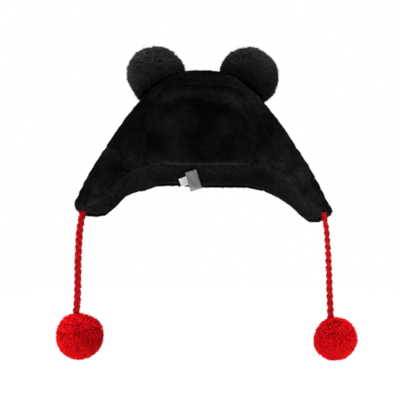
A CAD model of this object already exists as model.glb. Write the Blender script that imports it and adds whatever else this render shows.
"""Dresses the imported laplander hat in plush, fur, braid and ribbon, and lights it for its picture.

Every piece takes its place and outline from the CAD node that it replaces. The node's mesh is copied,
evened out and smoothed into a skin, and fibres are then sown on that skin and combed.
"""

import logging
import math
from collections.abc import Callable
from dataclasses import dataclass, replace
from enum import Enum
from itertools import product

import bpy
import numpy as np
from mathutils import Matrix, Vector
from mathutils.bvhtree import BVHTree
from mathutils.kdtree import KDTree


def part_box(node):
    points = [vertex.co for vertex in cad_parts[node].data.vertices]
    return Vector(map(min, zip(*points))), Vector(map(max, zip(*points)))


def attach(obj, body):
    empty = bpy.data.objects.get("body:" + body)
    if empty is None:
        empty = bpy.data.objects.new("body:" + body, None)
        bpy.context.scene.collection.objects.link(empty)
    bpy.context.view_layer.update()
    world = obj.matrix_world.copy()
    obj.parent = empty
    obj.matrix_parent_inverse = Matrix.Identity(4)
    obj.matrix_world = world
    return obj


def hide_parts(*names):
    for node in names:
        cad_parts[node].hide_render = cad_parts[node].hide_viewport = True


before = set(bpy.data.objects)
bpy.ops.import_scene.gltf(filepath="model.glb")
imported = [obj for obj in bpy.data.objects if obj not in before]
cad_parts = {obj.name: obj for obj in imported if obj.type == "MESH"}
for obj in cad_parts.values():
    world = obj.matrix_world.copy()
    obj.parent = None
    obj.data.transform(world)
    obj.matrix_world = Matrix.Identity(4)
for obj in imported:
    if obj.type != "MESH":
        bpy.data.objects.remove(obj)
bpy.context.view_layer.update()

BODY = "root"
MM = 0.001

# The hat's form, which says which side of a wall is outside
HALF_SPREAD = 0.1665
HALF_DEPTH = 0.111
DOME_CENTRE_Z = -0.100
DOME_HEIGHT = 0.112
FRONT_FADE = (0.0, 0.3)

# Farther than anything on the hat
FAR = 1.0

# The hem: the highest it gets, the steps in degrees that it is found by, and how far up the wall it acts
HEM_TOP_Z = -0.097
HEM_STEP = 1.0
HEM_DEPTH = 3.5 * MM
HEM_LIGHT_REACH = 3.5 * MM
HEM_REACH = 16.0 * MM

# How skins are made from the CAD nodes and smoothed across their seams
MERGE_DISTANCE = 0.02 * MM
INNER_FACING = -0.6
OUTSIDE_DEPTH = 6.0 * MM
SMOOTHING_SHARE = 0.5
RIM_HOLD = 7.0 * MM
SEAM_REACH = 3.0 * MM

# Where pile grows on a skin, and how dark it is against what it is pressed on
BARE_SHARE = 0.001
OUTER_FADE = (0.20, 0.45)
INNER_FADE = (0.1, 0.4)
HIDDEN_MARGIN = 15.0 * MM
PRESSED_TONE = 0.18
PRESSED_REACH = (3.0 * MM, 40.0 * MM)

# How strongly a fold still shows at its ends
FOLD_END = 0.25

# A lock of fibre: its faces, how far along it its corners are, and how much locks differ in size
LOCK_FACES = ((0, 2, 1), (0, 1, 3), (1, 2, 3), (2, 0, 3))
LOCK_ALONG = (0.0, 0.6, 0.6, 1.0)
LOCK_BEND = 0.5
LENGTH_SPREAD = (0.75, 1.15)
OVERHANG_SPREAD = (0.5, 1.2)
HALF_WIDTH_SPREAD = (0.35, 0.6)
ROLL_SPREAD = 0.3
TIP_STRAY = 0.5
TIP_CLEARANCE = 0.6 * MM
TONE_LIMITS = (0.15, 4.0)

# Wide leans over the tufts' own, and patches of tone by how many times finer they are and how strong
WIDE_TUFTS = 3
WIDE_LEAN = 0.4
WIDE_SEED = 9
PATCHES = ((1, 1.0), (3, 0.8), (6, 0.6))
PATCH_SEED = 21

# Numbers that scatter the noise's values over its grid
NOISE_STEPS = (7919, 104729, 1299709)
NOISE_SEED_STEP = 15485863
NOISE_PERIOD = 1000003
NOISE_TURN = 12.9898
NOISE_STRETCH = 43758.5453

# Sockets by number where several share a name, and the wave texture's period at scale 1, in metres
MIX_A, MIX_B = 6, 7
TO_MIN, TO_MAX = 3, 4
WAVE_PERIOD = 0.314

# The sharpest edge that is shaded smooth, and how finely a cord's curve is followed
EDGE_ANGLE = math.radians(40)
CURVE_STEP = 0.05

# Where the photograph was taken from
VIEW_CENTRE = (-0.0013, 0.0, -0.157)
VIEW_DISTANCE = 2.4
VIEW_SPAN = 0.520
SENSOR_WIDTH = 36.0

FLOOR_Z = -0.60
FLOOR_RADIUS = 7.0

log = logging.getLogger("laplander_hat")


# Colour, nodes and noise


def linear(code: str) -> tuple[float, float, float, float]:
    """Turn an sRGB hex colour into a linear one.

    Args:
        code: six hex digits after a hash sign.

    Returns:
        Red, green, blue and an opaque alpha, linear.
    """
    parts = [int(code[i : i + 2], 16) / 255 for i in (1, 3, 5)]
    red, green, blue = (c / 12.92 if c <= 0.04045 else ((c + 0.055) / 1.055) ** 2.4 for c in parts)
    return red, green, blue, 1.0


def wire(tree: bpy.types.NodeTree, node: bpy.types.Node, settings: dict, links: dict) -> bpy.types.Node:
    """Set one shader node up.

    Args:
        tree: the material's node tree.
        node: the node.
        settings: node properties by name, and socket values by index or name.
        links: sockets that feed the node's inputs, by input index or name.

    Returns:
        The node.
    """
    for name, value in settings.items():
        if isinstance(name, str) and hasattr(node, name):
            setattr(node, name, value)
        else:
            node.inputs[name].default_value = value
    for name, socket in links.items():
        tree.links.new(socket, node.inputs[name])
    return node


def add_node(tree: bpy.types.NodeTree, kind: str, settings: dict, links: dict) -> bpy.types.Node:
    """Add one shader node by its type name, with its settings and links."""
    return wire(tree, tree.nodes.new(kind), settings, links)


def new_material(name: str) -> tuple[bpy.types.Material, bpy.types.NodeTree, bpy.types.Node]:
    """Start a material, and return it with its node tree and its shader."""
    made = bpy.data.materials.new(name)
    made.use_nodes = True
    return made, made.node_tree, made.node_tree.nodes["Principled BSDF"]


def new_object(name: str, data: bpy.types.ID) -> bpy.types.Object:
    """Put a mesh, lamp or camera in the scene as an object, and return it."""
    made = bpy.data.objects.new(name, data)
    bpy.context.scene.collection.objects.link(made)
    return made


def smooth_noise(points: np.ndarray, size: float, seed: int) -> np.ndarray:
    """Read smooth noise at many points.

    Args:
        points: an array of points, in metres.
        size: how wide a patch of the noise is, in metres.
        seed: picks the pattern.

    Returns:
        One value from -1 to 1 for each point.
    """
    place = points / size
    low = np.floor(place).astype(np.int64)
    part = ramp(place - low, 0, 1)
    total = np.zeros(len(points))
    for corner in product((0, 1), repeat=3):
        key = (low + corner) @ np.array(NOISE_STEPS) + seed * NOISE_SEED_STEP
        value = np.sin((key % NOISE_PERIOD) * NOISE_TURN) * NOISE_STRETCH
        weight = np.where(np.array(corner) == 1, part, 1 - part).prod(axis=1)
        total += weight * (2 * (value - np.floor(value)) - 1)
    return total


def noise_vectors(points: np.ndarray, size: float, seed: int) -> np.ndarray:
    """Read three patterns of smooth noise at many points, as one vector for each."""
    return np.stack([smooth_noise(points, size, seed + k) for k in range(3)], axis=1)


def unit(vectors: np.ndarray) -> np.ndarray:
    """Scale vectors to length 1."""
    return vectors / np.maximum(np.linalg.norm(vectors, axis=-1, keepdims=True), 1e-9)


def along_skin(vectors: np.ndarray, normals: np.ndarray) -> np.ndarray:
    """Lay vectors down on the skin by taking out what points off it."""
    return vectors - (vectors * normals).sum(axis=1, keepdims=True) * normals


def outward(points: np.ndarray) -> np.ndarray:
    """Give the way out of the hat's hollow at many points."""
    lift = np.maximum(points[:, 2] - DOME_CENTRE_Z, 0)
    ways = [points[:, 0] / HALF_SPREAD**2, points[:, 1] / HALF_DEPTH**2, lift / DOME_HEIGHT**2]
    return unit(np.stack(ways, axis=1))


def turns(points: np.ndarray) -> np.ndarray:
    """Give where points are round the hat, in degrees from the front, to the left below 0."""
    return np.degrees(np.arctan2(points[:, 0] / HALF_SPREAD, -points[:, 1] / HALF_DEPTH))


def ramp(values: np.ndarray, low: float, high: float) -> np.ndarray:
    """Rise smoothly from 0 at low to 1 at high."""
    part = np.clip((values - low) / (high - low), 0, 1)
    return part * part * (3 - 2 * part)


# Finishes


@dataclass(frozen=True)
class PileFinish:
    """Dyed acrylic pile: dark at the root, lighter at the tip, with a dull gloss along the fibres.

    Attributes:
        name: the material's name.
        slot: the record's material slot.
        root: sRGB colour deep in the pile.
        tip: sRGB colour of the fibre ends.
        roughness: how matt a fibre is.
        gloss: the strength of its reflection.
        grain: how wide its duller and shinier flecks are.
        flecks: how far these part from the roughness.
        bump: how strongly they stand out.
        height: how far they do.
    """

    name: str
    slot: str
    root: str
    tip: str
    roughness: float
    gloss: float
    grain: float = 1.2 * MM
    flecks: float = 0.08
    bump: float = 0.35
    height: float = 0.3 * MM

    def material(self) -> bpy.types.Material:
        """Make the material, once, and return it."""
        made = bpy.data.materials.get(self.name)
        if made:
            return made
        made, tree, shader = new_material(self.name)
        along = add_node(tree, "ShaderNodeAttribute", {"attribute_name": "along"}, {})
        tone = add_node(tree, "ShaderNodeAttribute", {"attribute_name": "tone"}, {})
        shades = {"data_type": "RGBA", MIX_A: linear(self.root), MIX_B: linear(self.tip)}
        colour = add_node(tree, "ShaderNodeMix", shades, {0: along.outputs["Fac"]})
        feeds = {"Value": tone.outputs["Fac"], "Color": colour.outputs[2]}
        toned = add_node(tree, "ShaderNodeHueSaturation", {}, feeds)
        coords = add_node(tree, "ShaderNodeTexCoord", {}, {})
        noise = {"Scale": 1 / self.grain, "Detail": 2.0}
        grain = add_node(tree, "ShaderNodeTexNoise", noise, {"Vector": coords.outputs["Object"]})
        limits = {TO_MIN: self.roughness - self.flecks, TO_MAX: self.roughness + self.flecks}
        rough = add_node(tree, "ShaderNodeMapRange", limits, {0: grain.outputs[0]})
        depth = {"Strength": self.bump, "Distance": self.height}
        bump = add_node(tree, "ShaderNodeBump", depth, {"Height": grain.outputs[0]})
        feeds = {"Base Color": toned.outputs[0], "Roughness": rough.outputs[0], "Normal": bump.outputs[0]}
        wire(tree, shader, {"Specular IOR Level": self.gloss}, feeds)
        return made


# Short plush of the crown, flaps and visor: near black with a dull gloss
BLACK_PLUSH = PileFinish("black_acrylic_plush", "black_plush", "#030303", "#111111", 0.60, 0.003)
# Long fur of the crown pompoms: softer and a little lighter at the ends
BLACK_FUR = PileFinish("black_acrylic_fur", "black_fur", "#030303", "#2B2B2B", 0.60, 0.01)
# Shaved plush of the lining: matt, with little gloss
BLACK_LINING = PileFinish("black_shaved_plush", "black_plush", "#141414", "#262626", 0.75, 0.02)
# Long fur of the cord pompoms: bright red with a deep root
RED_FUR = PileFinish("red_acrylic_fur", "red_fur", "#9C0209", "#D00611", 0.60, 0.03)
# Braided yarn: a hairy red with dark furrows
RED_YARN = PileFinish("red_acrylic_yarn", "red_yarn", "#660205", "#AC0B11", 0.70, 0.04)


@dataclass(frozen=True)
class RibbonFinish:
    """Woven polyester ribbon: fine ribs across, closed edges and a slight satin gloss.

    Attributes:
        name: the material's name.
        slot: the record's material slot.
        ground: sRGB colour of the weave.
        rib: sRGB colour between the ribs.
        lean: how far the ribbon leans from upright, in degrees.
        rib_spacing: from rib to rib, in metres, drawn coarser than the real 0.4 mm so that it shows.
        cloud: how wide its lighter and darker places are.
        height: how far the ribs stand out.
        roughness: how matt it is.
        gloss: the strength of its reflection.
    """

    name: str
    slot: str
    ground: str
    rib: str
    lean: float
    rib_spacing: float = 1.1 * MM
    cloud: float = 4.0 * MM
    height: float = 0.15 * MM
    roughness: float = 0.5
    gloss: float = 0.4

    def material(self) -> bpy.types.Material:
        """Make the material and return it."""
        made, tree, shader = new_material(self.name)
        coords = add_node(tree, "ShaderNodeTexCoord", {}, {}).outputs["Object"]
        turn = {"Rotation": (0, -math.radians(self.lean), 0)}
        turned = add_node(tree, "ShaderNodeMapping", turn, {"Vector": coords})
        bands = {"bands_direction": "Z", "Scale": WAVE_PERIOD / self.rib_spacing, "Distortion": 0.6}
        ribs = add_node(tree, "ShaderNodeTexWave", bands, {"Vector": turned.outputs[0]}).outputs["Fac"]
        noise = {"Scale": 1 / self.cloud, "Detail": 3.0}
        cloud = add_node(tree, "ShaderNodeTexNoise", noise, {"Vector": coords})
        both = add_node(tree, "ShaderNodeMath", {"operation": "MULTIPLY"}, {0: ribs, 1: cloud.outputs[0]})
        shades = {"data_type": "RGBA", MIX_A: linear(self.rib), MIX_B: linear(self.ground)}
        colour = add_node(tree, "ShaderNodeMix", shades, {0: both.outputs[0]})
        depth = {"Strength": 0.5, "Distance": self.height}
        bump = add_node(tree, "ShaderNodeBump", depth, {"Height": ribs})
        settings = {"Roughness": self.roughness, "Specular IOR Level": self.gloss}
        wire(tree, shader, settings, {"Base Color": colour.outputs[2], "Normal": bump.outputs[0]})
        return made


GREY_RIBBON = RibbonFinish("grey_woven_ribbon", "grey_ribbon", "#AAABA8", "#80817F", 17.0)
WHITE_RIBBON = RibbonFinish("white_woven_ribbon", "white_ribbon", "#FCFCFC", "#F6F6F6", 22.0)


# Skins and fibres


def node_copy(node: str, name: str, cuts: int = 0) -> bpy.types.Object:
    """Copy a CAD node's mesh, and merge its loose triangles.

    Args:
        node: the CAD node.
        name: the copy's name.
        cuts: how often each of its edges is cut.

    Returns:
        The copy, selected and active, without a material.
    """
    bpy.ops.object.select_all(action="DESELECT")
    piece = new_object(name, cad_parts[node].data.copy())
    piece.data.materials.clear()
    bpy.context.view_layer.objects.active = piece
    piece.select_set(True)
    bpy.ops.object.mode_set(mode="EDIT")
    bpy.ops.mesh.select_all(action="SELECT")
    bpy.ops.mesh.remove_doubles(threshold=MERGE_DISTANCE)
    if cuts:
        bpy.ops.mesh.subdivide(number_cuts=cuts)
    bpy.ops.object.mode_set(mode="OBJECT")
    return piece


def stand_for(piece: bpy.types.Object, node: str) -> None:
    """Let a finished piece stand for its CAD node, take a slot's finish and ride on the hat."""
    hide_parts(node)
    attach(piece, BODY)


class PileMesh:
    """The closed surfaces of one piece, gathered as arrays and joined at the end."""

    def __init__(self) -> None:
        """Start with nothing."""
        self.parts: list[tuple[np.ndarray, ...]] = []
        self.total = 0

    def add(
        self,
        points: np.ndarray,
        faces: np.ndarray,
        along: np.ndarray,
        tone: np.ndarray,
        normals: np.ndarray,
    ) -> None:
        """Add a closed surface.

        Args:
            points: its corners.
            faces: triangles, as corner numbers from 0.
            along: how far up its fibre each corner is, from 0 at the root to 1 at the tip.
            tone: how light each corner is, about 1.
            normals: which way each corner is shaded.
        """
        self.parts.append((points, faces + self.total, along, tone, normals))
        self.total += len(points)

    def joined(self) -> list[np.ndarray]:
        """Join what was added, as corners, faces, places along the fibres, tones and normals."""
        return [np.concatenate(arrays) for arrays in zip(*self.parts)]

    def as_object(self, name: str, finish: PileFinish) -> bpy.types.Object:
        """Make one object of what was added.

        Args:
            name: the piece's name.
            finish: what it is made of.

        Returns:
            The new object, at the origin.
        """
        points, faces, along, tone, normals = self.joined()
        mesh = bpy.data.meshes.new(name)
        mesh.vertices.add(len(points))
        mesh.vertices.foreach_set("co", points.astype(np.float32).ravel())
        mesh.loops.add(faces.size)
        mesh.loops.foreach_set("vertex_index", faces.astype(np.int32).ravel())
        mesh.polygons.add(len(faces))
        mesh.polygons.foreach_set("loop_start", np.arange(0, faces.size, 3, dtype=np.int32))
        mesh.update(calc_edges=True)
        mesh.polygons.foreach_set("use_smooth", np.ones(len(faces), bool))
        mesh.normals_split_custom_set_from_vertices(normals)
        for label, values in (("along", along), ("tone", tone)):
            layer = mesh.attributes.new(label, "FLOAT", "POINT")
            layer.data.foreach_set("value", values.astype(np.float32))
        mesh.materials.append(finish.material())
        return new_object(name, mesh)


@dataclass
class Skin:
    """A closed surface that fibres grow on, as arrays.

    Attributes:
        points: its corners.
        normals: the way out at each corner.
        faces: triangles as corner numbers.
    """

    points: np.ndarray
    normals: np.ndarray
    faces: np.ndarray

    @classmethod
    def of_node(cls, node: str, modifiers: dict[str, dict]) -> "Skin":
        """Make a skin of a CAD node's copy.

        Args:
            node: the CAD node.
            modifiers: what works on the copy, in order, as settings by the modifier's type.

        Returns:
            The skin.
        """
        piece = node_copy(node, node + "_skin")
        for kind, settings in (modifiers | {"TRIANGULATE": {}}).items():
            modifier = piece.modifiers.new(kind, kind)
            for name, value in settings.items():
                setattr(modifier, name, value)
        for name in piece.modifiers.keys():
            bpy.ops.object.modifier_apply(modifier=name)
        mesh = piece.data
        points = np.zeros((len(mesh.vertices), 3), np.float32)
        mesh.vertices.foreach_get("co", points.ravel())
        normals = np.zeros((len(mesh.vertices), 3), np.float32)
        mesh.vertex_normals.foreach_get("vector", normals.ravel())
        faces = np.zeros((len(mesh.polygons), 3), np.int32)
        mesh.polygons.foreach_get("vertices", faces.ravel())
        bpy.data.objects.remove(piece)
        return cls(points, unit(normals), faces)

    def shape(self, reliefs: tuple["Relief", ...], dips: tuple["HemDip", ...], all_round: bool) -> None:
        """Press the reliefs into the skin and let its hem down.

        Args:
            reliefs: swells, dents and folds.
            dips: stretches of hem that hang lower or higher.
            all_round: whether the reliefs go right through the piece, and not only into its front.
        """
        rise = relief_of(reliefs, self.points, all_round)[0]
        self.points = self.points + self.normals * rise[:, None]
        if dips:
            near_hem = np.exp(-((self.near(self.hem(), self.points) / HEM_REACH) ** 2))
            for dip in dips:
                away = (turns(self.points) - dip.turn + 180) % 360 - 180
                self.points[:, 2] -= dip.drop * near_hem * np.exp(-((away / dip.spread) ** 2))

    def spans(self) -> np.ndarray:
        """Give the way out of each face, as long as twice its area."""
        corners = self.points[self.faces]
        return np.cross(corners[:, 1] - corners[:, 0], corners[:, 2] - corners[:, 0])

    def settle(self, weight: np.ndarray) -> None:
        """Work out the way out at each corner from the faces round it.

        Args:
            weight: how thickly the pile grows on each face, so that bare seam edges hardly count.
        """
        spans = self.spans() * (weight + BARE_SHARE)[:, None]
        normals = np.zeros(self.points.shape)
        for k in range(3):
            np.add.at(normals, self.faces[:, k], spans)
        self.normals = unit(normals)

    def near(self, chosen: np.ndarray, places: np.ndarray) -> np.ndarray:
        """Measure how far places are from some of the skin's corners.

        Args:
            chosen: which corners, as true or false for each.
            places: the places.

        Returns:
            The distance from each place to the nearest chosen corner.
        """
        found = np.flatnonzero(chosen)
        if not len(found):
            return np.full(len(places), FAR)
        tree = tree_of(self.points, found)
        return np.array([tree.find(place)[2] for place in places])

    def hem(self) -> np.ndarray:
        """Say which corners are on the hem, the lowest there are all round the hat."""
        heights = self.points[:, 2]
        step = ((turns(self.points) + 180) / HEM_STEP).astype(int)
        lowest = np.zeros(step.max() + 1)
        np.minimum.at(lowest, step, heights)
        return (heights < lowest[step] + HEM_DEPTH) & (heights < HEM_TOP_Z)

    def sow(
        self, count: int, weight: np.ndarray, rng: np.random.Generator
    ) -> tuple[np.ndarray, np.ndarray]:
        """Spread roots evenly over the skin.

        Args:
            count: how many roots.
            weight: how thickly the pile grows on each face, from 0 to 1.
            rng: the seeded draws.

        Returns:
            The roots and the way out at each.
        """
        corners = self.points[self.faces]
        reach = np.cumsum(np.linalg.norm(self.spans(), axis=1) * weight)
        picks = (np.arange(count) + rng.random(count)) / count * reach[-1]
        chosen = np.minimum(np.searchsorted(reach, picks), len(reach) - 1)
        a, b = np.sqrt(rng.random((count, 1))), rng.random((count, 1))
        mix = np.concatenate([1 - a, a * (1 - b), a * b], axis=1)[:, :, None]
        roots = (corners[chosen] * mix).sum(axis=1)
        normals = unit((self.normals[self.faces[chosen]] * mix).sum(axis=1))
        return roots, normals


def tree_of(points: np.ndarray, chosen: np.ndarray) -> KDTree:
    """Make a tree that finds the nearest of some points.

    Args:
        points: the points.
        chosen: the numbers of those that it holds.

    Returns:
        The tree.
    """
    tree = KDTree(len(chosen))
    for index in chosen:
        tree.insert(points[index], int(index))
    tree.balance()
    return tree


def sewn(skins: list[Skin]) -> tuple[np.ndarray, np.ndarray, np.ndarray]:
    """Join skins into one array of corners and one of faces, and say where each skin starts."""
    firsts = np.cumsum([0] + [len(skin.points) for skin in skins])
    points = np.concatenate([skin.points for skin in skins]).astype(float)
    return points, np.concatenate([skin.faces + first for skin, first in zip(skins, firsts)]), firsts


def ground_of(skins: list[Skin]) -> BVHTree:
    """Make one surface of some skins, for locks to lie on."""
    points, faces, _ = sewn(skins)
    return BVHTree.FromPolygons(points.tolist(), faces.tolist())


def raised(places: np.ndarray, ground: BVHTree | None) -> np.ndarray:
    """Raise places that are under the ground until they clear it.

    Args:
        places: the places.
        ground: the surface, or None to leave the places as they are.

    Returns:
        The places, some of them raised.
    """
    if not ground:
        return places
    clear = places.copy()
    for index, place in enumerate(places):
        near, normal = ground.find_nearest(place)[:2]
        depth = TIP_CLEARANCE - (Vector(place) - near).dot(normal)
        if depth > 0:
            clear[index] += depth * np.array(normal)
    return clear


def relax(skins: list[Skin], rounds: int) -> None:
    """Smooth the outside of sewn panels, and leave their hems alone.

    Where the rims of two panels meet they are linked, so that the seam is smoothed too and stays closed.

    Args:
        skins: the panels.
        rounds: rounds of smoothing.
    """
    points, faces, firsts = sewn(skins)
    panel = np.repeat(np.arange(len(skins)), np.diff(firsts))
    out = outward(points)
    facing = (np.concatenate([skin.normals for skin in skins]) * out).sum(axis=1)
    inner = tree_of(points, np.flatnonzero(facing < INNER_FACING))
    loose = np.array([inner.find(point)[2] for point in points]) > OUTSIDE_DEPTH
    sides = np.concatenate([faces[:, (0, 1)], faces[:, (1, 2)], faces[:, (2, 0)]])
    rim = np.unique(sides[loose[sides[:, 0]] & ~loose[sides[:, 1]]][:, 0])

    linked = np.zeros(len(points), bool)
    links = []
    trees = [tree_of(points, rim[panel[rim] == number]) for number in range(len(skins))]
    for index in rim:
        for number, tree in enumerate(trees):
            other, away = tree.find(points[index])[1:]
            if number != panel[index] and away < SEAM_REACH:
                links.append((index, other))
                linked[[index, other]] = True

    sides = np.concatenate([sides[loose[sides].all(axis=1)], np.array(links)])
    sides = np.unique(np.sort(sides, axis=1), axis=0)
    ends = np.concatenate([sides, sides[:, ::-1]])
    count = len(points)
    shared = np.maximum(np.bincount(ends[:, 0], minlength=count), 1)[:, None]
    moved = points.copy()
    for _ in range(rounds):
        sums = [np.bincount(ends[:, 0], moved[ends[:, 1], k], count) for k in range(3)]
        mean = np.stack(sums, axis=1) / shared
        moved = np.where(loose[:, None], moved + SMOOTHING_SHARE * (mean - moved), moved)

    shift = moved - points
    off = (shift * out).sum(axis=1, keepdims=True) * out
    tree = tree_of(points, rim)
    found = [tree.find(point) for point in points]
    free = ramp(np.array([away for _, _, away in found]), 0.0, RIM_HOLD)[:, None]
    seam = linked[[index for _, index, _ in found]][:, None]
    held = np.where(seam, off, 0)
    points = points + loose[:, None] * (free * shift + (1 - free) * held)
    for skin, first, last in zip(skins, firsts[:-1], firsts[1:]):
        skin.points = points[first:last]


@dataclass(frozen=True)
class Relief:
    """A place where the pile swells or is pressed down, or a fold or furrow along a line.

    Attributes:
        path: its line, or its one place, as (across, drop) from the top of the hollow.
        reach: its half width.
        rise: how far it stands out, or in where this is below 0.
        light: how much lighter the pile looks there, or darker where this is below 0.
    """

    path: tuple[tuple[float, float], ...]
    reach: float
    rise: float
    light: float

    def strength(self, points: np.ndarray) -> np.ndarray:
        """Give how strongly the relief shows at many points, from 0 to 1."""
        line = np.array(self.path)
        place = np.stack([points[:, 0], -points[:, 2]], axis=1)
        ends = np.minimum(np.linalg.norm(place - line[0], axis=1), np.linalg.norm(place - line[-1], axis=1))
        nearest = ends
        for a, b in zip(line[:-1], line[1:]):
            span = b - a
            part = np.clip(((place - a) @ span) / (span @ span), 0, 1)
            nearest = np.minimum(nearest, np.linalg.norm(place - a - part[:, None] * span, axis=1))
        fade = FOLD_END + (1 - FOLD_END) * ramp(ends, 0.0, 3 * self.reach) if len(line) > 1 else 1.0
        return np.exp(-((nearest / self.reach) ** 2)) * fade


def fold(reach: float, rise: float, light: float, *path: tuple[float, float]) -> Relief:
    """Describe a fold or furrow, with all but its light in millimetres."""
    return Relief(tuple((across * MM, drop * MM) for across, drop in path), reach * MM, rise * MM, light)


def spots(*rows: tuple[float, ...]) -> list[Relief]:
    """Describe round places by rows of across, drop, reach and rise, in millimetres, and light."""
    return [fold(reach, rise, light, (across, drop)) for across, drop, reach, rise, light in rows]


# Swells, dents and folds of the front of the crown and ear flaps
HAT_RELIEF: tuple[Relief, ...] = (
    fold(4.5, 1.5, 0.7, (27.2, -7.5), (45.3, -2.4), (63.9, 10.9), (79.8, 33.4)),
    *spots(
        (7.6, 4.2, 15, -1, -0.35), (-15, 10, 12, -1, -0.45), (-37, 10.4, 12, -1, -0.35),
        (-53.1, 20, 7, 1, 0.8), (-73, 28, 13, -1.5, -0.6), (-61, 31, 10, 0, -0.65),
        (-76, 60, 20, -1.5, -0.62), (-78, 85, 16, -1.5, -0.45), (-106, 78, 16, -1, -0.3),
        (-102, 112, 15, 0, -0.35), (-112, 108, 16, -1, -0.35), (-90, 99, 10, 1, 0.25),
        (-131, 141.7, 13, 1, 0.3), (-113, 129, 10, 0.5, -0.3), (-114, 85, 11, 0, 0.8),
        (70, 25, 16, 0, 0.35), (105, 79, 12, 0, 0.5), (77.4, 52.9, 16, -1, -0.35),
        (70, 80, 14, -1, -0.35), (99.5, 107.9, 10, 1.5, 1.2), (110, 114, 7, 0, -0.35),
        (76.3, 106.9, 11, 1.5, 0.5), (109.9, 126.2, 9, 1.5, 0.6), (126, 120.1, 10, 1.5, 0.9),
        (144.3, 151.9, 12, 1, 0.6), (122, 137, 8, 0, 0.7), (122, 124, 8, 0, 0.4), (133, 111, 9, 0, 0.5),
    ),
    fold(2.4, -0.4, -0.15, (103.3, 121.7), (117.8, 136.7), (130.1, 154.4), (147.1, 167.5)),
    fold(2.6, -0.4, -0.3, (-107.2, 130.5), (-115.2, 140.5), (-127.3, 151.9)),
)

# The turned-up visor: its rolled rim, the furrow under that, patches of its face and the folds at its foot
VISOR_RELIEF: tuple[Relief, ...] = (
    *spots(
        (-5, 64, 50, 0, -0.55), (56, 75, 30, 0, -0.35), (-56, 75, 26, 0, -0.4),
    ),
    fold(
        4.4, 2, 0.8, (-60.7, 34.4), (-53.1, 26.9), (-40.3, 24.9), (-23.9, 22.6), (-6.3, 21.6),
        (12.5, 24.1), (30.1, 27.7), (42.6, 34), (52.6, 42.9), (62.7, 52.8),
    ),
    fold(
        3.8, -3, -0.88, (-47.6, 45.6), (-38.9, 34.1), (-30.1, 30.3), (-20.1, 29.1), (-6.3, 29.9),
        (6.2, 32.7), (18.7, 37.1), (32.4, 40.8), (47.5, 48.2), (57.5, 58.2),
    ),
    *spots(
        (24, 46, 10, 0, -0.4), (24, 35, 9, 0, -0.5), (48, 33, 12, 0, 0.35), (-60, 32, 10, 0, -0.6),
        (-47, 21, 9, 0, -0.45), (-66, 72, 12, 0, -0.4), (56, 46, 8, 0, -0.5), (12, 65, 12, 0, -0.4),
        (26, 83, 9, 0, -0.3), (-8, 78, 10, 0, -0.35), (18, 98, 8, 0, -0.4), (-28, 64, 17, 1.5, 0.85),
        (-23.6, 88.9, 10, 1, 0.3), (9.9, 44.7, 11, -1.5, -0.45), (3, 62, 13, -2, -0.55),
        (-16.2, 86, 8, -1.5, -0.5), (9.8, 87.7, 9, 1, 0.2), (32.2, 60, 12, 1, 0.15),
        (30, 90.1, 13, -1.5, -0.45), (52, 80, 10, -1, -0.3), (-56, 83, 11, -1, -0.45),
    ),
    fold(3.6, 1.5, 1.6, (-66.1, 103.5), (-50.9, 108), (-35.1, 108), (0.1, 108), (57.1, 107.2)),
    fold(2.2, -1.5, -0.35, (-47.2, 104), (-10, 107), (38.3, 105.5)),
    fold(2.2, -1.5, -0.6, (-66.1, 101), (-54.7, 107.6), (-43.5, 111.6)),
    fold(2, 1.5, 0.8, (-57.2, 97.4), (-47.2, 103.7), (-39.7, 109)),
)

# Shade in the lining's two bends beside the flaps, and its lighter and darker places
LINING_RELIEF: tuple[Relief, ...] = (
    fold(2.6, 0, -0.5, (-91.8, 123), (-102.7, 131.6), (-104, 143.7)),
    fold(7, 0, -0.5, (62, 112.6), (88.5, 124.8), (106.7, 139.7)),
    *spots(
        (15, 123, 14, 0, 0.5), (-30, 125, 14, 0, 0.2), (48, 143, 11, 0, -0.45), (-73, 135, 10, 0, 0.5),
        (78, 124, 14, 0, -0.35),
    ),
)

# The left crown pompom's flat outer foot, and the sides of the pompoms that catch more or less light
POMPOM_RELIEF: tuple[Relief, ...] = (
    *spots(
        (-96, 15, 18, -6, 0.0), (-86, -15, 18, 0, 0.35), (-47, -6, 10, 0, 1.0), (44, -5, 12, 0, 0.5),
        (83, -5, 14, 0, -0.5), (42, -18.5, 12, 0, -0.5), (-138, 332, 16, 0, -0.4),
        (-177, 308, 12, 1.5, 0.0), (-130, 325, 14, 1.2, 0.0), (-139, 357, 12, -1.5, 0.0),
        (150, 315, 14, -2.5, 0.0), (156, 356, 16, 1.5, 0.0),
    ),
)


def relief_of(
    reliefs: tuple[Relief, ...], points: np.ndarray, all_round: bool
) -> tuple[np.ndarray, np.ndarray]:
    """Add up the reliefs at many points.

    Args:
        reliefs: the swells, dents and folds.
        points: the points.
        all_round: whether they go right through the piece, and not only into the hat's front.

    Returns:
        How far each point stands out, and how much lighter it looks.
    """
    front = np.ones(len(points)) if all_round else ramp(-outward(points)[:, 1], *FRONT_FADE)
    rise, light = np.zeros(len(points)), np.ones(len(points))
    for relief in reliefs:
        strength = relief.strength(points) * front
        rise += relief.rise * strength
        light *= 1 + relief.light * strength
    return rise, light


@dataclass(frozen=True)
class HemDip:
    """A stretch of hem that hangs lower than the CAD's, or higher where drop is below 0.

    Attributes:
        turn: where it is round the hat, in degrees from the front, to the left below 0.
        spread: its half width in degrees.
        drop: how far it hangs.
    """

    turn: float
    spread: float
    drop: float


FUR_DIPS = (
    HemDip(-52.0, 10.0, 4.5 * MM),
    HemDip(-88.0, 8.0, -3.5 * MM),
    HemDip(-148.0, 6.0, 3.0 * MM),
    HemDip(108.0, 11.0, 4.5 * MM),
)
LINING_DIPS = (
    HemDip(-148.0, 6.0, 3.0 * MM),
    HemDip(108.0, 11.0, 4.5 * MM),
    HemDip(180.0, 50.0, 1.2 * MM),
)


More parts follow.
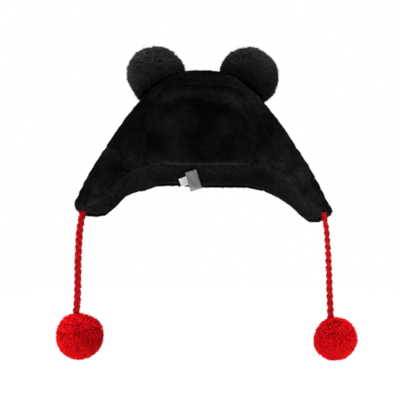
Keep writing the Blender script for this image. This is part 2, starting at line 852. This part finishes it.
class Comb(Enum):
    """Which way a pile is combed."""

    DOWN = (0.0, 0.0, -1.0)
    OUT = (0.0, 0.0, -0.45)


@dataclass(frozen=True)
class Growth:
    """How the fibres of a pile stand and lie.

    Attributes:
        fibres: how many locks of fibre the piece has.
        length: a lock's length.
        width: its greatest width, as drawn.
        root_lift: how steeply its lower half stands off the skin, from 0 to 1.
        tip_lift: how steeply its upper half does.
        tuft: how wide a tuft is, where locks lean together.
        lean: how strongly each tuft leans its own way.
        stray: how far single locks leave their neighbours.
        mottle: how strongly light and dark patches show.
        patch: how wide these patches are.
        fleck: how unlike its neighbours each lock is coloured.
        overhang: how far locks hang past a hem.
        hem_light: how much lighter they are where they bend round it.
        sink: how deep they start under the skin.
        relief: how unlike its neighbours each lock is shaded.
    """

    fibres: int
    length: float
    width: float
    root_lift: float
    tip_lift: float
    tuft: float
    lean: float
    stray: float
    mottle: float
    patch: float
    fleck: float = 0.16
    overhang: float = 2.2 * MM
    hem_light: float = 0.0
    sink: float = 1.0 * MM
    relief: float = 0.30

    def grow(
        self,
        skin: Skin,
        weight: np.ndarray,
        comb: Comb,
        pile: PileMesh,
        rng: np.random.Generator,
        tone_at: Callable[[np.ndarray], np.ndarray] = lambda points: np.ones(len(points)),
        ground: BVHTree | None = None,
    ) -> None:
        """Sow fibres on a skin, comb them, and add them to a piece.

        Each lock is a closed kite of four faces, bent over at its widest point.

        Args:
            skin: what they grow on.
            weight: how thickly they grow on each of its faces.
            comb: the way that the pile is combed.
            pile: the piece's arrays.
            rng: the seeded draws.
            tone_at: gives how light the pile is at many points.
            ground: what the locks stay clear of, if anything.
        """
        roots, normals = skin.sow(self.fibres, weight, rng)
        count = len(roots)
        below = skin.near(skin.hem(), roots)
        seed = int(rng.integers(1, 999))
        way = np.array(comb.value) + self.lean * noise_vectors(roots, self.tuft, seed)
        wide = WIDE_LEAN * self.lean * noise_vectors(roots, self.tuft * WIDE_TUFTS, seed + WIDE_SEED)
        way = along_skin(way + wide, normals)
        way = unit(way + self.stray * along_skin(rng.normal(size=roots.shape), normals))
        length = self.length * rng.uniform(*LENGTH_SPREAD, (count, 1))
        hung = below[:, None] + self.overhang * rng.uniform(*OVERHANG_SPREAD, (count, 1))
        length = np.minimum(length, hung)
        lower = unit(self.root_lift * normals + (1 - self.root_lift) * way)
        upper = unit(self.tip_lift * normals + (1 - self.tip_lift) * way)
        upper = unit(upper + TIP_STRAY * self.stray * rng.normal(size=roots.shape))
        start = roots - self.sink * normals
        bend = raised(start + lower * length * LOCK_BEND, ground)
        tip = raised(bend + upper * length * (1 - LOCK_BEND), ground)
        side = unit(np.cross(way, normals) + ROLL_SPREAD * rng.normal(size=roots.shape))
        half = side * self.width * rng.uniform(*HALF_WIDTH_SPREAD, (count, 1))
        corners = np.stack([start, bend + half, bend - half, tip], axis=1)
        inside_out = np.linalg.det(corners[:, 1:] - corners[:, :1]) < 0
        corners[inside_out] = corners[inside_out][:, (0, 2, 1, 3)]
        faces = (np.arange(count)[:, None, None] * 4 + np.array(LOCK_FACES)).reshape(-1, 3)
        patches = np.zeros(count)
        for number, (finer, strength) in enumerate(PATCHES, PATCH_SEED):
            patches += strength * smooth_noise(roots, self.patch / finer, seed + number)
        tone = 1 + self.mottle * patches + self.fleck * rng.normal(size=count)
        tone *= tone_at(roots) * (1 + self.hem_light * np.exp(-((below / HEM_LIGHT_REACH) ** 2)))
        tone = np.repeat(np.clip(tone, *TONE_LIMITS), 4)
        shading = unit(normals + self.relief * rng.normal(size=roots.shape))
        along = np.tile(LOCK_ALONG, count)
        pile.add(corners.reshape(-1, 3), faces, along, tone, np.repeat(shading, 4, axis=0))


# Short plush of the hat, shaved pile of the lining, long fur of the pompoms and loose hairs of the yarn
PLUSH = Growth(
    fibres=25000,
    length=9.0 * MM,
    width=1.1 * MM,
    root_lift=0.30,
    tip_lift=0.13,
    tuft=11.0 * MM,
    lean=0.40,
    stray=0.20,
    mottle=0.40,
    patch=20.0 * MM,
    hem_light=0.8,
)
SHAVED = Growth(
    fibres=14000,
    length=5.0 * MM,
    width=1.2 * MM,
    root_lift=0.16,
    tip_lift=0.05,
    tuft=14.0 * MM,
    lean=0.35,
    stray=0.12,
    mottle=0.20,
    patch=26.0 * MM,
    overhang=0.0,
    sink=0.6 * MM,
)
CROWN_FUR = Growth(
    fibres=20000,
    length=14.0 * MM,
    width=1.0 * MM,
    root_lift=0.72,
    tip_lift=0.40,
    tuft=7.0 * MM,
    lean=0.40,
    stray=0.22,
    mottle=0.20,
    patch=14.0 * MM,
    fleck=0.07,
    overhang=FAR,
    sink=1.5 * MM,
)
CORD_FUR = replace(CROWN_FUR, fibres=15000, length=12.0 * MM, mottle=0.08)
YARN_HAIRS = Growth(
    fibres=1500,
    length=3.2 * MM,
    width=0.22 * MM,
    root_lift=0.55,
    tip_lift=0.35,
    tuft=3.0 * MM,
    lean=0.6,
    stray=0.5,
    mottle=0.1,
    patch=8.0 * MM,
    overhang=FAR,
    sink=0.3 * MM,
)


# The hat's pieces


class Side(Enum):
    """Which side of a wall the pile grows on."""

    OUTER = "outer"
    INNER = "inner"
    ALL = "all"


@dataclass
class FurPiece:
    """A piece of the hat that is covered in pile.

    Attributes:
        node: the CAD node that it stands for.
        finish: what it is made of.
        growth: how its pile grows.
        seed: picks its draws.
        comb: which way the pile is combed.
        voxel: edge length of a rounded skin, or 0 for a sewn panel.
        levels: how many times a sewn panel's faces are split in four.
        smoothing: rounds of smoothing of a rounded skin.
        inset: how far the skin is drawn in.
        side: which side of it the pile grows on.
        behind: a node that hides a part of it, where no pile grows.
        reliefs: its swells, dents and folds.
        dips: stretches of its hem that hang lower or higher.
        shade_by: the node that it is pressed against.
    """

    node: str
    finish: PileFinish
    growth: Growth
    seed: int
    comb: Comb = Comb.DOWN
    voxel: float = 0.0
    levels: int = 2
    smoothing: int = 16
    inset: float = 0.0
    side: Side = Side.OUTER
    behind: str = ""
    reliefs: tuple[Relief, ...] = ()
    dips: tuple[HemDip, ...] = ()
    shade_by: str = ""

    def tone_at(self, points: np.ndarray) -> np.ndarray:
        """Give how light the pile is at many points.

        Args:
            points: the points.

        Returns:
            About 1 for each, less in folds and where the pile is pressed against what carries it.
        """
        tone = relief_of(self.reliefs, points, self.side is not Side.OUTER)[1]
        if self.shade_by:
            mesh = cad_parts[self.shade_by].data
            corners = [vertex.co for vertex in mesh.vertices]
            tree = BVHTree.FromPolygons(corners, [polygon.vertices for polygon in mesh.polygons])
            away = np.array([tree.find_nearest(point)[3] for point in points])
            tone = tone * (PRESSED_TONE + (1 - PRESSED_TONE) * ramp(away, *PRESSED_REACH))
        return tone

    def thickness(self, skin: Skin) -> np.ndarray:
        """Say how thickly the pile grows on each face of the skin."""
        if self.side is Side.ALL:
            return np.ones(len(skin.faces))
        middles = skin.points[skin.faces].mean(axis=1)
        facing = (unit(skin.spans()) * outward(middles)).sum(axis=1)
        if self.side is Side.INNER:
            return ramp(-facing, *INNER_FADE)
        thick = np.maximum(ramp(facing, *OUTER_FADE), skin.hem()[skin.faces].all(axis=1))
        if self.behind:
            low, high = (np.array(corner)[[0, 2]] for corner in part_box(self.behind))
            flat = middles[:, (0, 2)]
            hidden = ((flat > low + HIDDEN_MARGIN) & (flat < high - HIDDEN_MARGIN)).all(axis=1)
            thick = np.where(hidden & (middles[:, 1] < 0), 0.0, thick)
        return thick

    def skin(self) -> Skin:
        """Make the skin that the pile grows on."""
        if self.voxel:
            even = {"mode": "VOXEL", "voxel_size": self.voxel}
            return Skin.of_node(self.node, {"REMESH": even, "SMOOTH": {"iterations": self.smoothing}})
        split = {"subdivision_type": "SIMPLE", "levels": self.levels, "render_levels": self.levels}
        return Skin.of_node(self.node, {"SUBSURF": split})

    def form(self, skin: Skin) -> None:
        """Give the piece's skin its inset, its reliefs and its hem."""
        skin.points = skin.points - self.inset * skin.normals
        skin.shape(self.reliefs, self.dips, self.side is not Side.OUTER)

    def build(self, skin: Skin, ground: BVHTree | None) -> bpy.types.Object:
        """Make the piece and hang it on the hat.

        Args:
            skin: what the pile grows on.
            ground: what its locks stay clear of, or None for a pompom.

        Returns:
            The finished piece.
        """
        rng = np.random.default_rng(self.seed)
        thick = self.thickness(skin)
        skin.settle(thick)
        pile = PileMesh()
        roots = np.zeros(len(skin.points))
        pile.add(skin.points, skin.faces, roots, self.tone_at(skin.points), skin.normals)
        self.growth.grow(skin, thick, self.comb, pile, rng, self.tone_at, ground)
        piece = pile.as_object(self.node + "_pile", self.finish)
        stand_for(piece, self.node)
        return piece


def ball(node: str, finish: PileFinish, growth: Growth, seed: int, inset: float) -> FurPiece:
    """Describe a fur pompom, whose skin is drawn in so that its fur ends where the photograph's does."""
    return FurPiece(
        node,
        finish,
        growth,
        seed,
        comb=Comb.OUT,
        voxel=4.0 * MM,
        smoothing=12,
        inset=inset,
        side=Side.ALL,
        reliefs=POMPOM_RELIEF,
        shade_by="crown" if finish is BLACK_FUR else "",
    )


def panel(node: str, fibres: int, seed: int, behind: str = "", hem_light: float = 0.8) -> FurPiece:
    """Describe a sewn panel of the hat's plush."""
    growth = replace(PLUSH, fibres=fibres, hem_light=hem_light)
    return FurPiece(node, BLACK_PLUSH, growth, seed, behind=behind, reliefs=HAT_RELIEF, dips=FUR_DIPS)


@dataclass
class FurCovering:
    """All the pieces of the hat that are covered in pile.

    Attributes:
        pieces: the pieces.
        smoothing: rounds of smoothing for the outside of the sewn panels.
    """

    pieces: tuple[FurPiece, ...] = (
        panel("crown", 36000, 11, behind="visor"),
        panel("left_ear_flap", 21500, 12),
        panel("right_ear_flap", 21500, 13),
        panel("nape_panel", 12000, 14, hem_light=-0.3),
        FurPiece("visor", BLACK_PLUSH, PLUSH, 15, voxel=2.5 * MM, smoothing=20, reliefs=VISOR_RELIEF),
        FurPiece(
            "lining",
            BLACK_LINING,
            SHAVED,
            16,
            levels=1,
            side=Side.INNER,
            reliefs=LINING_RELIEF,
            dips=LINING_DIPS,
        ),
        ball("left_ear_pompom", BLACK_FUR, CROWN_FUR, 17, 7.0 * MM),
        ball("right_ear_pompom", BLACK_FUR, CROWN_FUR, 18, 6.5 * MM),
        ball("left_cord_pompom", RED_FUR, CORD_FUR, 19, 6.1 * MM),
        ball("right_cord_pompom", RED_FUR, CORD_FUR, 20, 6.5 * MM),
    )
    smoothing: int = 36

    def build(self) -> dict[str, bpy.types.Object]:
        """Make every piece.

        Returns:
            The pieces by the name of the node that each stands for.
        """
        skins = {piece.node: piece.skin() for piece in self.pieces}
        panels = [piece.node for piece in self.pieces if not piece.voxel and piece.side is Side.OUTER]
        relax([skins[node] for node in panels], self.smoothing)
        for piece in self.pieces:
            piece.form(skins[piece.node])
        shell = ground_of([skins[node] for node in panels])
        made = {}
        for piece in self.pieces:
            ground = None
            if piece.side is not Side.ALL:
                ground = shell if piece.node in panels else ground_of([skins[piece.node]])
            made[piece.node] = piece.build(skins[piece.node], ground)
            log.info("%s: %d faces", piece.node, len(made[piece.node].data.polygons))
        return made


# Cords


class Turn(Enum):
    """How far a plait's flat side is turned from the camera at its top and at its end, in degrees."""

    FLAT = (14.0, 0.0)
    EDGEWISE = (76.0, 22.0)


@dataclass
class PlaitedCord:
    """A three-strand plait of red yarn from a flap's end down to its pompom.

    Attributes:
        node: the CAD node that it stands for.
        pompom: the node of the pompom on its end.
        start: where it leaves the hem.
        route: places below the start, as (across, drop) in millimetres.
        turn: which side of the plait faces the camera.
        seed: picks its draws.
        width: its width over the flat side.
        strands: how many strands are plaited.
        period: how far along a strand goes from side to side and back.
        sway: how far it goes to each side.
        weave: how far it goes to the front and back.
        yarns: how many yarns are twisted into a strand.
        yarn_radius: a yarn's radius.
        yarn_spread: the least and greatest share of that radius.
        tone_spread: the least and greatest tone of a yarn.
        yarn_along: where a yarn's colour is between the finish's root and tip.
        ply: from the middle of a strand to that of its yarns.
        twist: how far along a yarn goes once round its strand.
        taper: how thick the plait is at its ends, as a share.
        taper_reach: how far from the ends it is full.
        step: from point to point along a yarn.
        sides: how many corners a yarn has round it.
        spacing: from point to point of the stated path.
    """

    node: str
    pompom: str
    start: tuple[float, float, float]
    route: tuple[tuple[float, float], ...]
    turn: Turn
    seed: int
    width: float = 8.0 * MM
    strands: int = 3
    period: float = 27.0 * MM
    sway: float = 2.55 * MM
    weave: float = 1.15 * MM
    yarns: int = 4
    yarn_radius: float = 1.05 * MM
    yarn_spread: tuple[float, float] = (0.92, 1.08)
    tone_spread: tuple[float, float] = (0.85, 1.12)
    yarn_along: float = 0.55
    ply: float = 1.15 * MM
    twist: float = 17.0 * MM
    taper: float = 0.75
    taper_reach: float = 5.0 * MM
    step: float = 1.3 * MM
    sides: int = 6
    spacing: float = 6.0 * MM

    def line(self, spacing: float) -> np.ndarray:
        """Read the route as even points on a smooth curve.

        Args:
            spacing: from point to point.

        Returns:
            The points, from the hem down.
        """
        x, y, z = self.start
        knots = np.array([(x + across * MM, y, z - drop * MM) for across, drop in self.route])
        fine = []
        for i in range(len(knots) - 1):
            a, b = knots[max(i - 1, 0)], knots[i]
            c, d = knots[i + 1], knots[min(i + 2, len(knots) - 1)]
            for t in np.arange(0, 1, CURVE_STEP):
                curve = 2 * b + (c - a) * t + (2 * a - 5 * b + 4 * c - d) * t**2
                fine.append(0.5 * (curve + (3 * b - a - 3 * c + d) * t**3))
        fine = np.array(fine + [knots[-1]])
        reach = np.concatenate([[0], np.cumsum(np.linalg.norm(np.diff(fine, axis=0), axis=1))])
        places = np.linspace(0, reach[-1], round(reach[-1] / spacing) + 1)
        return np.stack([np.interp(places, reach, fine[:, k]) for k in range(3)], axis=1)

    def tube(self, centre: np.ndarray, radius: np.ndarray, tone: float, pile: PileMesh) -> None:
        """Add one closed yarn along a line.

        Args:
            centre: points along its middle.
            radius: its radius at each.
            tone: how light it is.
            pile: the piece's arrays.
        """
        way = unit(np.gradient(centre, axis=0))
        side = unit(np.cross(way, (0.0, 1.0, 0.0)))
        front = np.cross(side, way)
        rows, sides = len(centre), self.sides
        angles = np.arange(sides) * 2 * math.pi / sides
        ring = side[:, None] * np.cos(angles)[:, None] + front[:, None] * np.sin(angles)[:, None]
        points = (centre[:, None] + ring * radius[:, None, None]).reshape(-1, 3)
        faces = []
        for k in range(sides):
            here = np.arange(rows - 1) * sides + k
            beside = np.arange(rows - 1) * sides + (k + 1) % sides
            faces.append(np.stack([here, beside, here + sides], axis=1))
            faces.append(np.stack([beside, beside + sides, here + sides], axis=1))
        last = (rows - 1) * sides
        caps = [(0, k + 1, k) for k in range(1, sides - 1)]
        caps += [(last, last + k, last + k + 1) for k in range(1, sides - 1)]
        faces = np.concatenate(faces + [np.array(caps)])
        if np.linalg.det(points[faces]).sum() < 0:
            faces = faces[:, ::-1]
        normals = unit(points - np.repeat(centre, sides, axis=0))
        along, tones = (np.full(len(points), value) for value in (self.yarn_along, tone))
        pile.add(points, faces, along, tones, normals)

    def plait(self) -> bpy.types.Object:
        """Plait the cord.

        Returns:
            The finished cord.
        """
        rng = np.random.default_rng(self.seed)
        middle = self.line(self.step)
        place = np.arange(len(middle)) * self.step
        way = unit(np.gradient(middle, axis=0))
        angle = np.radians(np.linspace(*self.turn.value, len(middle)))
        facing = np.stack([-np.sin(angle), np.cos(angle), 0 * angle], axis=1)
        flat = unit(np.cross(way, facing))
        deep = np.cross(flat, way)
        pile = PileMesh()
        ends = np.minimum(place, place[-1] - place)
        taper = self.taper + (1 - self.taper) * ramp(ends, 0.0, self.taper_reach)
        for strand in range(self.strands):
            phase = place / self.period * 2 * math.pi + strand * 2 * math.pi / self.strands
            path = middle + flat * (self.sway * np.sin(phase) * taper)[:, None]
            path = path + deep * (self.weave * np.sin(2 * phase))[:, None]
            for yarn in range(self.yarns):
                spin = place / self.twist * 2 * math.pi + yarn * 2 * math.pi / self.yarns
                off = flat * np.cos(spin)[:, None] + deep * np.sin(spin)[:, None]
                radius = self.yarn_radius * rng.uniform(*self.yarn_spread) * taper
                tone = rng.uniform(*self.tone_spread)
                self.tube(path + off * self.ply, radius, tone, pile)
        points, faces = pile.joined()[:2]
        nearest = np.searchsorted(-middle[:, 2], -points[:, 2])
        out = points - middle[np.clip(nearest, 0, len(middle) - 1)]
        YARN_HAIRS.grow(Skin(points, unit(out), faces), np.ones(len(faces)), Comb.DOWN, pile, rng)
        return pile.as_object(self.node + "_plait", RED_YARN)

    def hang(self, pompom: bpy.types.Object) -> bpy.types.Object:
        """Make the cord, hang it on the hat and declare what it is.

        Args:
            pompom: the piece on its end.

        Returns:
            The finished cord.
        """
        piece = self.plait()
        path = self.line(self.spacing)
        stand_for(piece, self.node)
        return piece


LEFT_CORD = PlaitedCord(
    node="left_cord",
    pompom="left_cord_pompom",
    start=(-0.15304, -0.02079, -0.17142),
    route=(
        (0, 0), (-0.2, 5), (-1.1, 11), (-2.7, 20), (-4, 32), (-4.8, 48), (-5.5, 66), (-5.7, 84),
        (-5.9, 100), (-6.4, 115), (-7.4, 127), (-9, 142.5),
    ),
    turn=Turn.FLAT,
    seed=31,
)
RIGHT_CORD = PlaitedCord(
    node="right_cord",
    pompom="right_cord_pompom",
    start=(0.15870, -0.02056, -0.17305),
    route=(
        (0, 0), (0.2, 5), (1.1, 11), (2.7, 19), (3.8, 32), (4.9, 47), (5.7, 62), (6.4, 80), (7, 102),
        (7.9, 122), (8.8, 145.5),
    ),
    turn=Turn.EDGEWISE,
    seed=32,
)


# Labels


@dataclass
class RibbonLabel:
    """A bare ribbon label, sewn into the lining at its top edge.

    Attributes:
        node: the CAD node that it stands for.
        finish: what it is woven of.
        flat: its width and length when flat.
        widening: how much wider it is than the CAD's.
        shift: how far it is moved to the right.
        ripple: how far it waves out of true.
        wave: from wave to wave.
        slant: how far the waves lean, as a share of the height.
        cuts: how often each of its edges is cut, so that it can bend.
    """

    node: str
    finish: RibbonFinish
    flat: tuple[float, float]
    widening: float = 1.0
    shift: float = 0.0
    ripple: float = 0.35 * MM
    wave: float = 9.0 * MM
    slant: float = 0.6
    cuts: int = 5

    def build(self) -> bpy.types.Object:
        """Returns:
            The finished label.
        """
        piece = node_copy(self.node, self.node + "_ribbon", self.cuts)
        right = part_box(self.node)[1][0]
        for vertex in piece.data.vertices:
            x, z = vertex.co.x, vertex.co.z
            vertex.co.x = right + (x - right) * self.widening + self.shift
            vertex.co.y += self.ripple * math.sin((x + self.slant * z) / self.wave * 2 * math.pi)
        bpy.ops.object.shade_smooth_by_angle(angle=EDGE_ANGLE)
        piece.data.materials.append(self.finish.material())
        stand_for(piece, self.node)
        log.info("%s: %.1f x %.1f mm", self.node, self.flat[0] / MM, self.flat[1] / MM)
        return piece


# The studio


@dataclass
class SoftBox:
    """A large soft lamp.

    Attributes:
        name: the lamp's name.
        place: where it stands.
        size: its width and height.
        power: watts.
    """

    name: str
    place: tuple[float, float, float]
    size: float
    power: float

    def build(self) -> None:
        """Set up the lamp, turned to the hat."""
        lamp = bpy.data.lights.new(self.name, "AREA")
        lamp.size = self.size
        lamp.energy = self.power
        holder = new_object(self.name, lamp)
        holder.location = self.place
        aim = Vector(VIEW_CENTRE) - Vector(self.place)
        holder.rotation_euler = aim.to_track_quat("-Z", "Y").to_euler()


@dataclass
class Studio:
    """The floor, the lights and the camera.

    Attributes:
        lamps: the lamps.
        world_light: how much light the backdrop sheds, against 1 that it shows.
        floor_glow: how strongly the floor is lit from within.
    """

    lamps: tuple[SoftBox, ...] = (
        SoftBox("left_softbox", (-0.95, -0.60, -0.05), 0.6, 11.6),
        SoftBox("right_softbox", (1.00, -0.55, 0.10), 0.6, 11.0),
        SoftBox("top_softbox", (0.0, -0.5, 1.5), 1.2, 67.0),
    )
    world_light: float = 0.22
    floor_glow: float = 0.78

    def floor(self) -> None:
        """Lay a pale matt floor under the hat, lit from within as a light table is."""
        bpy.ops.object.select_all(action="DESELECT")
        bpy.ops.mesh.primitive_circle_add(
            vertices=64, radius=FLOOR_RADIUS, fill_type="NGON", location=(0, 0, FLOOR_Z)
        )
        floor = bpy.context.active_object
        floor.name = "studio_floor"
        paint, tree, shader = new_material("pale_matt_paint")
        colours = {"Base Color": linear("#F7F7F7"), "Emission Color": linear("#FFFFFF")}
        gloss = {"Roughness": 0.9, "Specular IOR Level": 0.1, "Emission Strength": self.floor_glow}
        wire(tree, shader, colours | gloss, {})
        floor.data.materials.append(paint)

    def world(self) -> None:
        """Surround the hat with a white backdrop that sheds less light than it shows."""
        world = bpy.data.worlds.new("white_studio")
        world.use_nodes = True
        tree = world.node_tree
        seen = add_node(tree, "ShaderNodeLightPath", {}, {})
        lights = {TO_MIN: self.world_light, TO_MAX: 1.0}
        strength = add_node(tree, "ShaderNodeMapRange", lights, {0: seen.outputs["Is Camera Ray"]})
        white = {"Color": linear("#FFFFFF")}
        wire(tree, tree.nodes["Background"], white, {"Strength": strength.outputs[0]})
        bpy.context.scene.world = world

    def camera(self) -> None:
        """Stand the camera level in front of the hat, with a long lens."""
        data = bpy.data.cameras.new("camera")
        data.sensor_width = SENSOR_WIDTH
        data.lens = VIEW_DISTANCE * SENSOR_WIDTH / VIEW_SPAN
        camera = new_object("camera", data)
        x, y, z = VIEW_CENTRE
        camera.location = (x, y - VIEW_DISTANCE, z)
        camera.rotation_euler = (math.radians(90), 0, 0)
        bpy.context.scene.camera = camera

    def build(self) -> None:
        """Set up the whole studio."""
        self.floor()
        self.world()
        for lamp in self.lamps:
            lamp.build()
        self.camera()
        bpy.context.scene.view_settings.view_transform = "Standard"


def main() -> None:
    """Dress the hat, piece by piece, and set up the studio."""
    logging.basicConfig(level=logging.INFO, format="%(name)s %(message)s")
    Studio().build()
    covering = FurCovering().build()
    for cord in (LEFT_CORD, RIGHT_CORD):
        cord.hang(covering[cord.pompom])
    RibbonLabel("grey_label", GREY_RIBBON, (0.0170, 0.027), widening=1.12).build()
    RibbonLabel("white_label", WHITE_RIBBON, (0.0155, 0.012), shift=-1.8 * MM).build()


if __name__ == "__main__":
    main()
